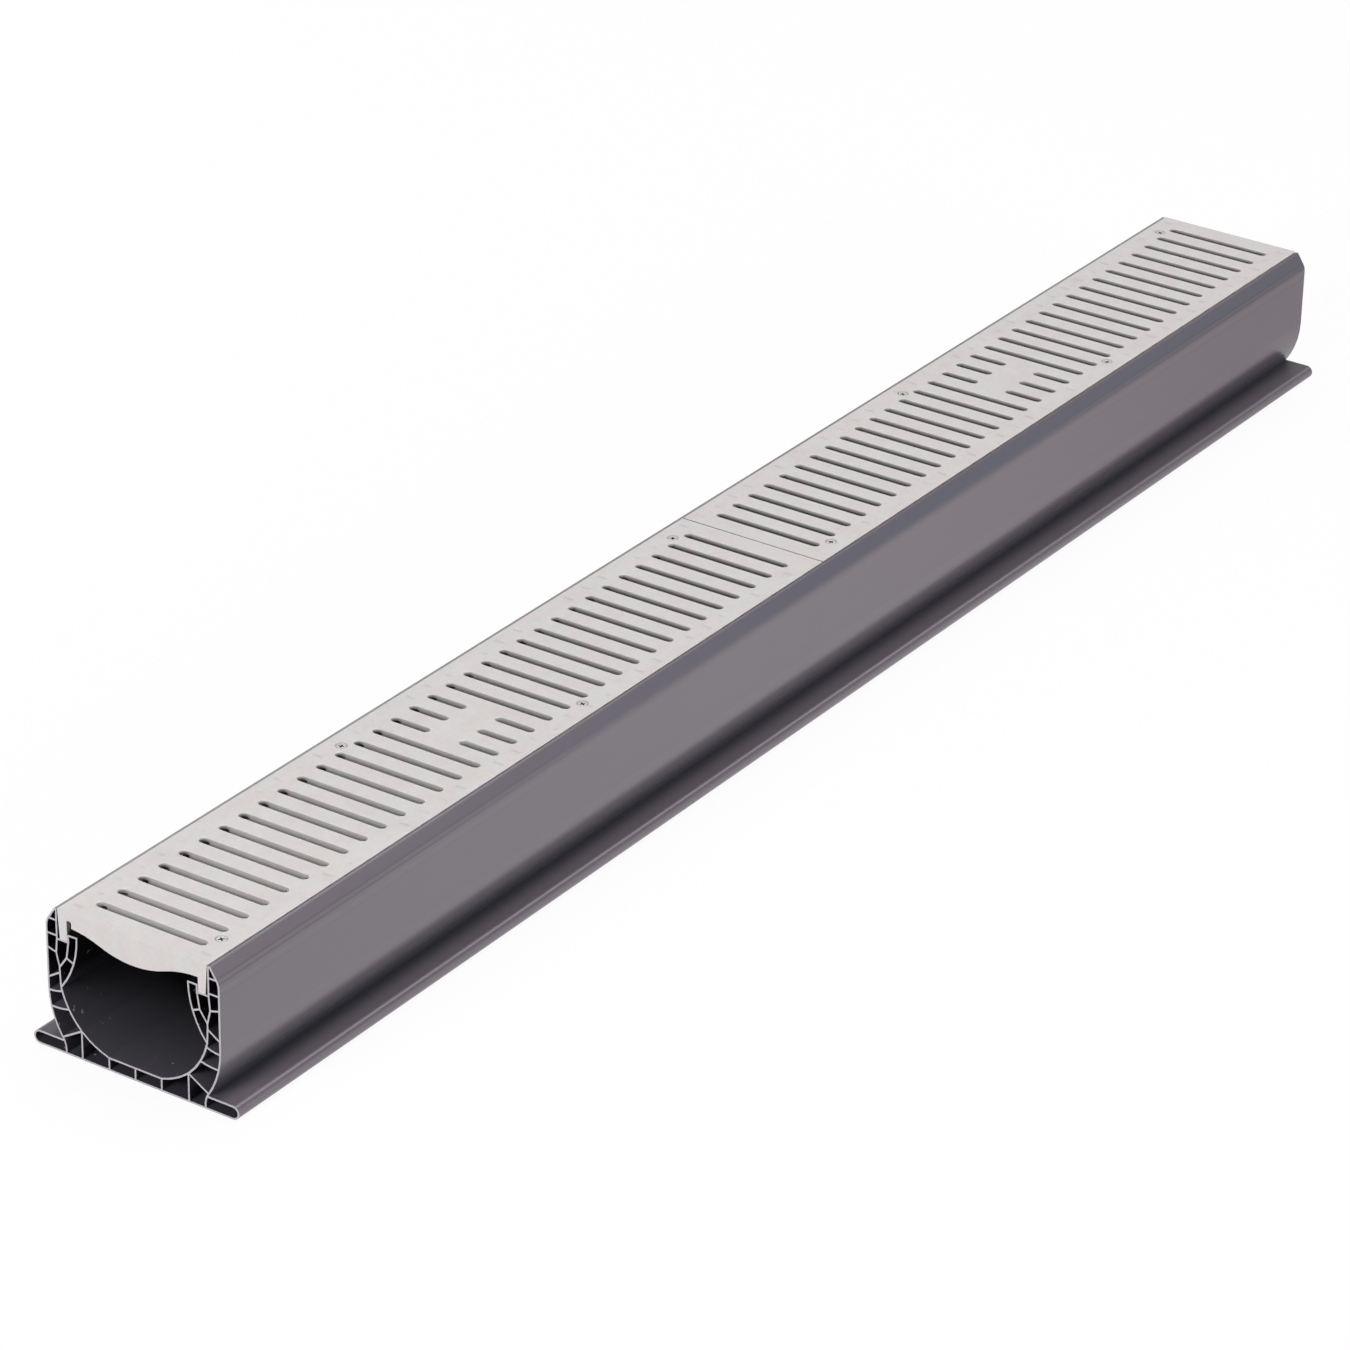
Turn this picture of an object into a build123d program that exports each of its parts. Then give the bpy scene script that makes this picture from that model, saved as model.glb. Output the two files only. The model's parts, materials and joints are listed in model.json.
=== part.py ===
from build123d import *
import os
from math import atan2, cos, pi, radians, tan

# Channel drain: one extruded hollow-walled channel, two moulded slotted grates laid end to end in its
# pockets, and flat-head screws that hold each grate down into the channel's hollow fingers.
# Millimetres. X runs along the drain, Z is up, the origin is at the centre of the underside.

# Channel, overall
channel_length = 1219.2
height = 92.0  # underside of the channel to the top of the grates
wall_width = 121.5  # across the outer faces of the side walls
flange_width = 145.0  # across the tips of the bottom flanges
base_height = 8.75  # underside to the trough floor and to the top of the flanges
wall = 1.1  # every skin and web of the extrusion

# Channel, rim and grate pocket
rim_drop = 0.5  # rim below the top of the grates
rim_land = 1.1  # blunt top of the rim
chamfer_drop = 9.1  # rim down to the corner of the shoulder
shoulder_radius = 9.0
side_hollow = 8.2  # outer face of the side wall to the face of the pocket
pocket_depth = 18.9  # top of the grates down to the pocket floor
finger_rise = 4.6  # pocket floor up to the top of the finger
finger_width = 6.0  # between the middles of the finger's two walls

# Channel, below the pocket floor: drops from the pocket floor, and steps inwards from the pocket's wall
upper_web_rise = 1.9
kink_drop = 8.9
kink_step = 0.85
kink_web_rise = 1.75
finger_web_drop = 10.3
finger_web_reach = 1.65
finger_web_place = 0.46  # along the finger's inner curve
merge_drop = 17.7
merge_step = 1.25
brace_drop = 21.2
brace_fall = 5.2
waist_drop = 30.3
waist_step = 1.75

# Channel, trough and base
trough_floor_width = 37.0  # between the ends of the flat floor
knee_height = 10.3  # trough floor up to the knee where the leg web stands
knee_reach = 19.1  # end of the flat floor out to the knee
side_bow = 2.0  # how far the trough's side bulges past a straight line
floor_bow = 1.2  # the same for the rising edge of its floor
skirt_start = 2.3  # waist down to where the side wall begins to curve in
skirt_reach = 10.0  # side wall in to the root of the flange
waist_web_place = 0.09  # along the trough's side
waist_web_foot = 0.06  # along the skirt
bowl_web_place = 0.5
bowl_web_foot = 0.36
brace_foot = 0.93
web_sag = 0.45  # the long thin webs are a little bowed by cooling
root_web_lean = 1.0

# Grates
joint_gap = 0.7  # between the two grates
grate_inset = 0.1  # end of each grate inside the end of the channel
side_gap = 0.3  # grate's top edge to the pocket's outer wall
finger_gap = 0.3  # grate's leg to the finger
leg_thickness = 6.4  # at the top
leg_draft = 1.3  # how much thinner the outside of a leg makes it at its foot
rib_edge_depth = 9.8  # depth of the end wall beside the legs
rib_middle_depth = 18.5  # depth of the end wall and bars in the middle of the grate
edge_radius = 0.4

# Grates, walls of the moulding
margin_skin = 2.6  # thin skin beside the bars, over the fingers
margin_inner = 34.1  # the bars are full depth from the middle out to here
leg_wall = 3.8  # legs behind the end walls, at the top
end_wall = 3.0
rib_wall = 2.6
core_skin = 4.5  # over the hollows in the end bars and under the bare middle
notch_width = 3.3  # notch in one corner of each end wall, beside the leg
notch_depth = 5.6  # top of the grate down to the notch's ceiling
notch_radius = 1.2

# Slots
slot_pitch = 17.92
slot_width = 5.8
slot_length = 76.6
slot_end_land = 15.0  # least distance from a grate's end to the middle of its first slot
split_rows = 3
plain_width = 22.0  # bare place between the two short slots of a split row

# Screws
screw_offset = 41.2  # from the middle of the drain
inner_screw_bars = 3.5  # pitches from the middle of a grate to its inner screws
head_diameter = 6.8
head_rim = 0.3
head_half_angle = 41.0
shank_diameter = 3.5
screw_length = 25.4
head_clearance = 0.1
hole_clearance = 0.25
thread_clearance = 0.05
boss_width = 9.2
small_sides = 12  # sides of the slots' round ends, the screws and their holes

half_wall = wall / 2
half_length = channel_length / 2
grate_length = half_length - joint_gap / 2 - grate_inset
pocket_face = wall_width / 2 - side_hollow
grate_edge = pocket_face - side_gap
leg_face = grate_edge - leg_thickness
finger_face = leg_face - finger_gap
rib_edge_z = height - rib_edge_depth
leg_inside = grate_edge - leg_wall
seat_z = height - pocket_depth
half_rows = int((grate_length / 2 - slot_end_land) / slot_pitch)


def bowed(start, end, bow):
    """Arc from start to end that bulges by bow to the left of the way it runs."""
    chord = Vector(*end) - Vector(*start)
    side = Vector(-chord.Y, chord.X).normalized()
    middle = (Vector(*start) + Vector(*end)) / 2 + side * bow
    return ThreePointArc(start, middle, end)


def stretch(arc, first, last):
    """Part of an arc, between two places given as shares of its length."""
    return ThreePointArc(arc @ first, arc @ ((first + last) / 2), arc @ last)


def channel_lines():
    """Middle lines of every wall and web on the +Y side, as (y, z) edges, each drawn once."""
    side_y = wall_width / 2 - half_wall
    pocket_y = pocket_face + half_wall
    finger_y = finger_face - half_wall
    floor_z = seat_z - half_wall
    rim_z = height - rim_drop - half_wall
    base_z = half_wall
    deck_z = base_height - half_wall

    # Rim, chamfer and shoulder: the shoulder's arc touches the chamfer and the upright wall.
    rim_in, rim_out = (pocket_y, rim_z), (pocket_y + rim_land, rim_z)
    corner = Vector(side_y, rim_z - chamfer_drop)
    slope = (Vector(*rim_out) - corner).normalized()
    turn = atan2(slope.X, slope.Y)
    tangent = shoulder_radius * tan(abs(turn) / 2)
    shoulder_top = corner + slope * tangent
    shoulder_foot = corner - Vector(0, tangent)
    apex = (pocket_y, rim_z + rim_land * slope.Y / abs(slope.X))

    # Places where walls and webs meet, from the rim down
    rim_web = (pocket_y, shoulder_top.Y)
    upper_web = (pocket_y, floor_z + upper_web_rise)
    pocket_corner = (pocket_y, floor_z)
    finger_root = (finger_y, floor_z)
    kink = (pocket_y + kink_step, floor_z - kink_drop)
    finger_web = (finger_y + finger_web_reach, floor_z - finger_web_drop)
    merge = (pocket_y - merge_step, floor_z - merge_drop)
    brace = (pocket_y - merge_step, floor_z - brace_drop)
    waist = (pocket_y - waist_step, floor_z - waist_drop)
    finger_out = (finger_y, floor_z + finger_rise)
    finger_in = (finger_y - finger_width, floor_z + finger_rise)
    floor_end = (trough_floor_width / 2, deck_z)
    knee = (trough_floor_width / 2 + knee_reach, deck_z + knee_height)
    wall_foot = (side_y, waist[1] - skirt_start)
    root = (side_y - skirt_reach, deck_z)
    root_foot = (side_y - skirt_reach - root_web_lean, base_z)
    tip_radius = (deck_z - base_z) / 2
    tip_y = flange_width / 2 - half_wall

    inner_curve = TangentArc(finger_in, waist, tangent=(0, -1))
    bowl = bowed(waist, knee, side_bow)
    skirt = TangentArc(wall_foot, root, tangent=(0, -1))
    floor_rise = bowed(knee, floor_end, floor_bow)
    wall_places = [kink[1] + kink_web_rise, brace[1] - brace_fall]
    upper_web_out = (side_y, upper_web[1])
    kink_web_out = (side_y, wall_places[0])
    brace_out = (side_y, wall_places[1])

    return {
        "apex_in": Line(apex, rim_web),
        "apex_out": Line(apex, shoulder_top),
        "rim": Line(rim_in, rim_out),
        "rim_wall": Line(rim_in, rim_web),
        "chamfer": Line(rim_out, shoulder_top),
        "shoulder": TangentArc(shoulder_foot, shoulder_top, tangent=(0, 1)),
        "rim_web": Line(rim_web, shoulder_top),
        "pocket_wall": Line(rim_web, upper_web),
        "pocket_wall_foot": Line(upper_web, pocket_corner),
        "upper_web": Line(upper_web, upper_web_out),
        "side_top": Line(shoulder_foot, upper_web_out),
        "side_upper": Line(upper_web_out, kink_web_out),
        "side_middle": Line(kink_web_out, brace_out),
        "side_foot": Line(brace_out, wall_foot),
        "pocket_floor": Line(finger_root, pocket_corner),
        "inner_upper": Line(pocket_corner, kink),
        "inner_middle": Line(kink, merge),
        "inner_short": Line(merge, brace),
        "inner_lower": Line(brace, waist),
        "kink_web": Line(kink, kink_web_out),
        "brace": Line(brace, brace_out),
        "finger_head": Line(finger_out, finger_root),
        "finger_top": Line(finger_in, finger_out),
        "finger_back": Line(finger_root, finger_web),
        "finger_slope": Line(finger_web, merge),
        "finger_front": stretch(inner_curve, 0, finger_web_place),
        "finger_tail": stretch(inner_curve, finger_web_place, 1),
        "finger_web": Line(inner_curve @ finger_web_place, finger_web),
        "bowl_top": stretch(bowl, 0, waist_web_place),
        "bowl_middle": stretch(bowl, waist_web_place, bowl_web_place),
        "bowl_foot": stretch(bowl, bowl_web_place, 1),
        "waist_web": bowed(bowl @ waist_web_place, skirt @ waist_web_foot, -web_sag),
        "bowl_web": bowed(bowl @ bowl_web_place, skirt @ bowl_web_foot, -web_sag),
        "skirt_top": stretch(skirt, 0, waist_web_foot),
        "skirt_upper": stretch(skirt, waist_web_foot, bowl_web_foot),
        "skirt_lower": stretch(skirt, bowl_web_foot, brace_foot),
        "skirt_foot": stretch(skirt, brace_foot, 1),
        "foot_brace": Line(knee, skirt @ brace_foot),
        "leg_web": Line(knee, (knee[0], base_z)),
        "floor_rise": floor_rise,
        "floor": Line(floor_end, (0, deck_z)),
        "floor_web": Line(floor_end, (floor_end[0], base_z)),
        "middle_web": Line((0, deck_z), (0, base_z)),
        "root_web": bowed(root, root_foot, -web_sag),
        "base_inner": Line((0, base_z), (floor_end[0], base_z)),
        "base_middle": Line((floor_end[0], base_z), (knee[0], base_z)),
        "base_outer": Line((knee[0], base_z), root_foot),
        "flange_top": Line(root, (tip_y - tip_radius, deck_z)),
        "flange_tip": ThreePointArc(
            (tip_y - tip_radius, deck_z), (tip_y, base_z + tip_radius), (tip_y - tip_radius, base_z)
        ),
        "flange_base": Line(root_foot, (tip_y - tip_radius, base_z)),
    }


# Lines that bound the whole section on the +Y side, from the middle of the trough floor to the middle of the base
OUTLINE = [
    "floor", "floor_rise", "bowl_foot", "bowl_middle", "bowl_top", "finger_tail", "finger_front", "finger_top",
    "finger_head", "pocket_floor", "pocket_wall_foot", "pocket_wall", "rim_wall", "rim", "chamfer", "shoulder",
    "side_top", "side_upper", "side_middle", "side_foot", "skirt_top", "skirt_upper", "skirt_lower", "skirt_foot",
    "flange_top", "flange_tip", "flange_base", "base_outer", "base_middle", "base_inner",
]

# Lines around each hollow cell on the +Y side
CELLS = {
    "rim": ["apex_in", "apex_out", "rim_web"],
    "shoulder": ["rim_web", "shoulder", "side_top", "upper_web", "pocket_wall"],
    "upper": ["upper_web", "side_upper", "kink_web", "inner_upper", "pocket_wall_foot"],
    "middle": ["kink_web", "side_middle", "brace", "inner_short", "inner_middle"],
    "waist": ["brace", "side_foot", "skirt_top", "waist_web", "bowl_top", "inner_lower"],
    "bowl": ["waist_web", "skirt_upper", "bowl_web", "bowl_middle"],
    "haunch": ["bowl_web", "skirt_lower", "foot_brace", "bowl_foot"],
    "leg": ["foot_brace", "skirt_foot", "root_web", "base_outer", "leg_web"],
    "floor_side": ["leg_web", "base_middle", "floor_web", "floor_rise"],
    "floor_middle": ["floor_web", "base_inner", "middle_web", "floor"],
    "flange": ["root_web", "flange_base", "flange_tip", "flange_top"],
    "pocket": ["pocket_floor", "inner_upper", "inner_middle", "finger_slope", "finger_back"],
    "finger": ["finger_top", "finger_head", "finger_back", "finger_web", "finger_front"],
    "finger_tail": ["finger_web", "finger_slope", "inner_short", "inner_lower", "finger_tail"],
}


def channel_section():
    """Extrusion's section: the outline, half a wall outside its middle lines, less every hollow cell."""
    lines = {name: line.edge() for name, line in channel_lines().items()}
    half = [lines[name] for name in OUTLINE]
    whole = half + [mirror(line, about=Plane.YZ).edge() for line in half]
    section = Sketch() + Face(Wire(whole).offset_2d(half_wall, kind=Kind.ARC))
    holes = []
    for names in CELLS.values():
        middle = Wire([lines[name] for name in names])
        hole = Face(middle.offset_2d(-half_wall, kind=Kind.ARC))
        holes += [hole, mirror(hole, about=Plane.YZ)]
    return section - holes


def round_sketch(radius):
    """Small round shape. It has few sides, because slots and screws repeat so often."""
    return RegularPolygon(radius, small_sides)


def flat_head(radius):
    """Screw's head or its countersink, from its flat top at the origin through a thin rim down to the shank."""
    step = radius - shank_diameter / 2
    drop = step / tan(radians(head_half_angle))
    head = extrude(round_sketch(radius), amount=-head_rim - drop)
    foot = head.faces().sort_by(Axis.Z)[0]
    return chamfer(foot.edges(), step * cos(pi / small_sides), drop, reference=foot)


def screw_places(grate_x):
    """Centres (x, y) of one grate's four screws, set on alternate sides and alike when turned end for end."""
    end_bar = half_rows - 0.5
    places = [(-end_bar, -1), (-inner_screw_bars, 1), (inner_screw_bars, -1), (end_bar, 1)]
    return [(grate_x + bar * slot_pitch, side * screw_offset) for bar, side in places]


def channel(places):
    """Extruded channel with the holes that the screws cut in its fingers."""
    body = extrude(Plane.YZ * channel_section(), amount=half_length, both=True)
    tap = extrude(round_sketch(shank_diameter / 2 + thread_clearance), amount=-screw_length)
    return body - [Pos(x, y, height) * tap for x, y in places]


def grate_section():
    """Grate's solid section: legs that stand in the pockets, and an underside that bellies down between them."""
    rib_middle_z = height - rib_middle_depth
    side = FilletPolyline(
        (0, height),
        (grate_edge, height),
        (grate_edge - leg_draft, seat_z),
        (leg_face, seat_z),
        (leg_face, rib_edge_z),
        radius=[edge_radius, 0, 0],
    )
    turning = (leg_face / 2, (rib_edge_z + rib_middle_z) / 2)
    outer_belly = TangentArc((leg_face, rib_edge_z), turning, tangent=(-1, 0))
    inner_belly = TangentArc((0, rib_middle_z), turning, tangent=(1, 0))
    half = side.edges() + [outer_belly.edge(), inner_belly.edge()]
    whole = half + [mirror(line, about=Plane.YZ).edge() for line in half]
    return Face(Wire(whole))


def slot(length):
    """Slot across the grate, with round ends."""
    end = round_sketch(slot_width / 2)
    reach = (length - slot_width) / 2
    return Rectangle(slot_width, reach * 2) + [Pos(0, reach) * end, Pos(0, -reach) * end]


def slot_sketch():
    """Every slot of one grate, seen from above: full rows, and split rows around the bare middle."""
    full = slot(slot_length)
    short = slot((slot_length - plain_width) / 2)
    short_y = (slot_length + plain_width) / 4
    sketch = Sketch()
    for row in range(-half_rows, half_rows + 1):
        x = row * slot_pitch
        if abs(row) <= split_rows // 2:
            sketch += [Pos(x, short_y) * short, Pos(x, -short_y) * short]
        else:
            sketch += Pos(x, 0) * full
    return sketch


def span(low_x, high_x, low_y, high_y, low_z, high_z):
    """Box between two values on each axis."""
    box = Box(high_x - low_x, high_y - low_y, high_z - low_z, align=(Align.MIN, Align.MIN, Align.MIN))
    return Pos(low_x, low_y, low_z) * box


def margin_blocks(places):
    """Ribs from the bars out to the legs under every second bar, and a thick boss under each screw."""
    bars = [side * (bar + 0.5) * slot_pitch for bar in range(0, half_rows, 2) for side in (-1, 1)]
    blocks = [(x, side, rib_wall) for x in bars for side in (-1, 1)]
    blocks += [(x, y / abs(y), boss_width) for x, y in places]
    solids = []
    for x, side, width in blocks:
        low_y, high_y = sorted((side * margin_inner, side * leg_inside))
        solids.append(span(x - width / 2, x + width / 2, low_y, high_y, rib_edge_z, height - margin_skin))
    return solids


def undersides():
    """Hollows of one grate, open from below: beside the bars, in both end bars and under the bare middle."""
    inner_x = grate_length / 2 - end_wall
    last_rib = half_rows * slot_pitch + slot_width / 2 + rib_wall
    core_y = margin_inner - rib_wall
    core_z = height - core_skin
    hollows = []
    for side in (-1, 1):
        low_y, high_y = sorted((side * margin_inner, side * leg_inside))
        hollows.append(span(-inner_x, inner_x, low_y, high_y, seat_z, height - margin_skin))
        low_x, high_x = sorted((side * last_rib, side * inner_x))
        hollows.append(span(low_x, high_x, -core_y, core_y, seat_z, core_z))
    middle_y = plain_width / 2 - rib_wall
    for row in range(-(split_rows // 2), split_rows // 2 + 1):
        x = row * slot_pitch
        hollows.append(span(x - slot_width / 2, x + slot_width / 2, -middle_y, middle_y, seat_z, core_z))
    return hollows


def end_notch():
    """Notch in one corner of a grate's end wall, beside the leg, at the end that faces -X."""
    shape = Pos(leg_face - notch_width / 2, height - notch_depth * 2) * RectangleRounded(
        notch_width, notch_depth * 2, notch_radius
    )
    return Pos(-grate_length / 2, 0, 0) * extrude(Plane.YZ * shape, amount=end_wall)


def grate(middle_x):
    """One moulded grate, centred on middle_x."""
    places = screw_places(0)
    body = extrude(Plane.YZ * grate_section(), amount=grate_length / 2, both=True)
    body -= undersides()
    body += margin_blocks(places)
    body -= [end_notch(), Rot(0, 0, 180) * end_notch()]
    body -= extrude(Pos(0, 0, height) * slot_sketch(), amount=-pocket_depth)
    hole = extrude(round_sketch(shank_diameter / 2 + hole_clearance), amount=-rib_edge_depth)
    sink = flat_head(head_diameter / 2 + head_clearance)
    body -= [Pos(x, y, height) * cut for x, y in places for cut in (hole, sink)]
    return Pos(middle_x, 0, 0) * body


def screw(x, y):
    """Flat-head screw, its head level with the grate's top."""
    shank = extrude(round_sketch(shank_diameter / 2), amount=-screw_length)
    return Pos(x, y, height) * (flat_head(head_diameter / 2) + shank)


def main():
    """Build every piece and write one file for each."""
    os.makedirs("parts", exist_ok=True)
    grate_offset = joint_gap / 2 + grate_length / 2
    near_places = screw_places(-grate_offset)
    far_places = screw_places(grate_offset)
    pieces = {
        "channel": channel(near_places + far_places),
        "near_grate": grate(-grate_offset),
        "far_grate": grate(grate_offset),
    }
    for number, (x, y) in enumerate(near_places + far_places, start=1):
        pieces[f"grate_screw_{number}"] = screw(x, y)
    for name, piece in pieces.items():
        export_step(piece, f"parts/{name}.step")


main()
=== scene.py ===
"""Looks of a channel drain: an extruded hollow-walled channel, two slotted grates and the screws that hold them.

Everything is in metres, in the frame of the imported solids: X along the drain, Z up, the near end at -X.
"""

import json
import logging
import math
from dataclasses import dataclass
from enum import Enum

import bmesh
import bpy
import numpy as np
from mathutils import Matrix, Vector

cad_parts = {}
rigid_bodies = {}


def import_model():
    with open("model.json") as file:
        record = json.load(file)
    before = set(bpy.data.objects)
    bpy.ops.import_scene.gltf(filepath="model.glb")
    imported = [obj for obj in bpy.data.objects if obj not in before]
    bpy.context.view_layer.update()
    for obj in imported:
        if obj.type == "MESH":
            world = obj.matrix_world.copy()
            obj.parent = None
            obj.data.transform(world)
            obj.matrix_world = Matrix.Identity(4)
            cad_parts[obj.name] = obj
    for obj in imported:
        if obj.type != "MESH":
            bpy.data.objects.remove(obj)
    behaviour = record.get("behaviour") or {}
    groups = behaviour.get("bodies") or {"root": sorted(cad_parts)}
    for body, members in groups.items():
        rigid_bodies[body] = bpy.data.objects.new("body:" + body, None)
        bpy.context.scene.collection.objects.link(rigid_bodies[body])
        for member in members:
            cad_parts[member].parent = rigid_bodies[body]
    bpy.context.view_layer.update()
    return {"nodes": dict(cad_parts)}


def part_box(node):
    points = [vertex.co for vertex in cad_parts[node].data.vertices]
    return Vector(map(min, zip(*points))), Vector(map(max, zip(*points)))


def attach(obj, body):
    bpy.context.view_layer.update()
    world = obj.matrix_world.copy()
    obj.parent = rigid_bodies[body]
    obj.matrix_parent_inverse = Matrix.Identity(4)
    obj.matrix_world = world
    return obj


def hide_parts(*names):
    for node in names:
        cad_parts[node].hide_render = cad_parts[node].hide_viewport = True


MM = 0.001
ROOT_BODY = "root"
WHITE = (1.0, 1.0, 1.0, 1.0)
Colour = tuple[float, float, float]
Point = tuple[float, float, float]
log = logging.getLogger("channel_drain")


class Slot(Enum):
    """Material slots of the record."""

    CHANNEL = "channel"
    GRATE = "grate"
    SCREW = "screw"


@dataclass(frozen=True)
class Drain:
    """Sizes that the pieces and their finishes share."""

    half_length: float = 609.6 * MM
    top: float = 92.0 * MM
    side: float = 60.75 * MM
    base_height: float = 8.75 * MM
    wall: float = 1.1 * MM
    grate_middle: float = 304.925 * MM
    slot_pitch: float = 17.92 * MM


@dataclass(frozen=True)
class Band:
    """Two values of a field: where its mask is 0, and where the mask is 1."""

    zero: float
    one: float


@dataclass(frozen=True)
class Grain:
    """Noise of a surface: its scale, per metre, on each axis, its detail and its roughness."""

    scale: tuple[float, float, float]
    detail: float = 2.0
    roughness: float = 0.5


DRAIN = Drain()


class Field:
    """One output of a shader node, with arithmetic that adds Math nodes."""

    def __init__(self, tree: "ShaderTree", socket: bpy.types.NodeSocket) -> None:
        """Wrap a socket of a tree."""
        self.tree = tree
        self.socket = socket

    def _math(self, operation: str, *values: "Field | float") -> "Field":
        """Add one Math node over the values."""
        return self.tree.node("ShaderNodeMath", {"operation": operation}, dict(enumerate(values)))

    def __add__(self, other: "Field | float") -> "Field":
        """Sum of two fields."""
        return self._math("ADD", self, other)

    __radd__ = __add__

    def __sub__(self, other: "Field | float") -> "Field":
        """This field less the other."""
        return self._math("SUBTRACT", self, other)

    def __rsub__(self, other: "Field | float") -> "Field":
        """The other less this field."""
        return self._math("SUBTRACT", other, self)

    def __mul__(self, other: "Field | float") -> "Field":
        """Product of two fields."""
        return self._math("MULTIPLY", self, other)

    def __pow__(self, other: float) -> "Field":
        """This field raised to a power."""
        return self._math("POWER", self, other)

    def __abs__(self) -> "Field":
        """Field without its sign."""
        return self._math("ABSOLUTE", self)

    def at_least(self, other: "Field | float") -> "Field":
        """Larger of two fields."""
        return self._math("MAXIMUM", self, other)

    def at_most(self, other: "Field | float") -> "Field":
        """Smaller of two fields."""
        return self._math("MINIMUM", self, other)

    def wrapped(self, period: float) -> "Field":
        """Distance to the nearest whole multiple of a period."""
        return abs(self._math("WRAP", self, period / 2, -period / 2))

    def ramp(self, band: Band, smooth: bool = True) -> "Field":
        """Mask that goes from 0 to 1 over a band, either way round.

        Args:
            band: where the mask is 0 and where it is 1.
            smooth: round the ramp's two ends.

        Returns:
            A field from 0 to 1.
        """
        if band.zero > band.one:
            return 1.0 - self.ramp(Band(band.one, band.zero), smooth)
        kind = "SMOOTHSTEP" if smooth else "LINEAR"
        inputs = {"Value": self, "From Min": band.zero, "From Max": band.one}
        return self.tree.node("ShaderNodeMapRange", {"interpolation_type": kind}, inputs)


class ShaderTree:
    """Node tree of one material, or of the world."""

    def __init__(self, owner: bpy.types.Material | bpy.types.World) -> None:
        """Start an empty tree that reads Object coordinates.

        Args:
            owner: the material or world whose tree it is.
        """
        owner.use_nodes = True
        self.owner = owner
        self.tree = owner.node_tree
        self.tree.nodes.clear()
        kind = "Material" if isinstance(owner, bpy.types.Material) else "World"
        self.output = self.node(f"ShaderNodeOutput{kind}", out=None)
        self.place = self.node("ShaderNodeTexCoord", out="Object")
        self.x, self.y, self.z = (self.node("ShaderNodeSeparateXYZ", None, {0: self.place}, axis) for axis in "XYZ")

    @classmethod
    def named(cls, name: str) -> "ShaderTree":
        """Tree of a new material."""
        return cls(bpy.data.materials.new(name))

    def node(
        self, kind: str, settings: dict | None = None, inputs: dict | None = None, out: int | str | None = 0
    ) -> "Field | bpy.types.Node":
        """Add a node.

        Args:
            kind: Blender's name of the node type.
            settings: properties of the node, set first.
            inputs: socket name or index to a number, tuple or field.
            out: name or index of the output that is wanted, or None for the node itself.

        Returns:
            The wanted output, or the node.
        """
        made = self.tree.nodes.new(kind)
        for key, value in (settings or {}).items():
            setattr(made, key, value)
        for key, value in (inputs or {}).items():
            if isinstance(value, Field):
                self.tree.links.new(value.socket, made.inputs[key])
            else:
                made.inputs[key].default_value = value
        return made if out is None else Field(self, made.outputs[out])

    def noise(self, grain: Grain) -> Field:
        """Noise from 0 to 1.

        Args:
            grain: its scale, detail and roughness.

        Returns:
            The noise.
        """
        stretched = self.node("ShaderNodeMapping", None, {"Vector": self.place, "Scale": grain.scale})
        inputs = {"Vector": stretched, "Scale": 1.0, "Detail": grain.detail, "Roughness": grain.roughness}
        return self.node("ShaderNodeTexNoise", None, inputs)

    def mix(
        self, factor: Field | float, first: "Field | Colour", second: "Field | Colour", blend: str = "MIX"
    ) -> Field:
        """Colour between two colours.

        Args:
            factor: 0 for the first colour, 1 for the second.
            first: a field, or a plain colour.
            second: a field, or a plain colour.
            blend: Blender's name of the blend.

        Returns:
            The mixed colour.
        """
        first, second = (colour if isinstance(colour, Field) else (*colour, 1.0) for colour in (first, second))
        settings = {"data_type": "RGBA", "blend_type": blend}
        return self.node("ShaderNodeMix", settings, {0: factor, 6: first, 7: second}, 2)

    def tinted(self, colour: "Field | Colour", gain: Field) -> Field:
        """Colour times a grey gain."""
        grey = self.node("ShaderNodeCombineColor", None, {0: gain, 1: gain, 2: gain})
        return self.mix(1.0, colour, grey, "MULTIPLY")

    def bump(self, height: Field, distance: float) -> Field:
        """Normal bent by a height field, with the height of 1 given in metres."""
        return self.node("ShaderNodeBump", None, {"Height": height, "Distance": distance, "Strength": 1.0})

    def shader(self, **inputs: "Field | float | Colour") -> Field:
        """Principled shader.

        Args:
            inputs: its socket names, with underscores for spaces.

        Returns:
            The shader.
        """
        named = {key.replace("_", " "): value for key, value in inputs.items()}
        return self.node("ShaderNodeBsdfPrincipled", None, named)

    def finish(self, shader: Field) -> None:
        """Link a shader to the output."""
        self.tree.links.new(shader.socket, self.output.inputs["Surface"])


@dataclass(frozen=True)
class DieLine:
    """Lengthwise line that the die leaves: its height, half its width, and how much darker (or, below 0, paler)."""

    height: float
    reach: float
    shade: float


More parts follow.
